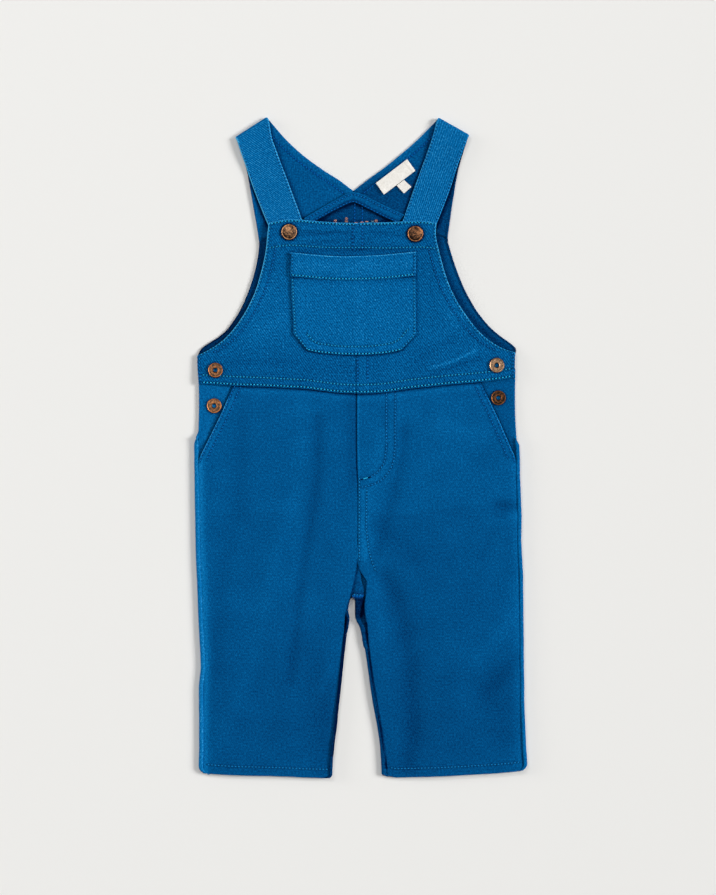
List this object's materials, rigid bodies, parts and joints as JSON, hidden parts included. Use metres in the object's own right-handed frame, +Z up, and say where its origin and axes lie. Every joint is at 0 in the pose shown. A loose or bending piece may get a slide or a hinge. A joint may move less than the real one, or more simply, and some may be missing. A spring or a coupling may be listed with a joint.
{
  "type": "kids dungarees",
  "caption": "Baby's cotton twill dungarees laid flat: bib with patch pocket, folded straps with back wings, slanted hip pockets, short legs and press studs.",
  "frame": {"origin": "centre of the garment's box on the surface it lies on", "axes": "+X across to the garment's right-hand edge as seen from the front, +Y up the garment from hems to straps, +Z up from the surface"},
  "size_m": [0.2525, 0.5018, 0.0078],
  "materials": {
    "twill": "piece-dyed cotton twill, diagonal rib, matt with a soft bloom",
    "topstitch": "polyester topstitch thread, a tone lighter than the cloth",
    "label_tape": "woven cream label tape, plain",
    "embroidery": "stranded embroidery thread",
    "aged_copper": "antiqued copper plate, darker in the hollows"
  },
  "bodies": {
    "root": {"back_left": "twill", "back_right": "twill", "hip_facing_left": "twill", "hip_facing_right": "twill", "front_leg_left": "twill", "front_leg_right": "twill", "bib_left": "twill", "bib_right": "twill", "strap_left": "twill", "strap_right": "twill", "chest_pocket": "twill", "chest_pocket_band": "twill", "back_seam_facing": "twill", "label": "label_tape", "size_tab": "label_tape", "bib_snap_left": "aged_copper", "bib_snap_right": "aged_copper", "side_snap_left_upper": "aged_copper", "side_snap_left_lower": "aged_copper", "side_snap_right_upper": "aged_copper", "side_snap_right_lower": "aged_copper"}
  },
  "joints": []
}
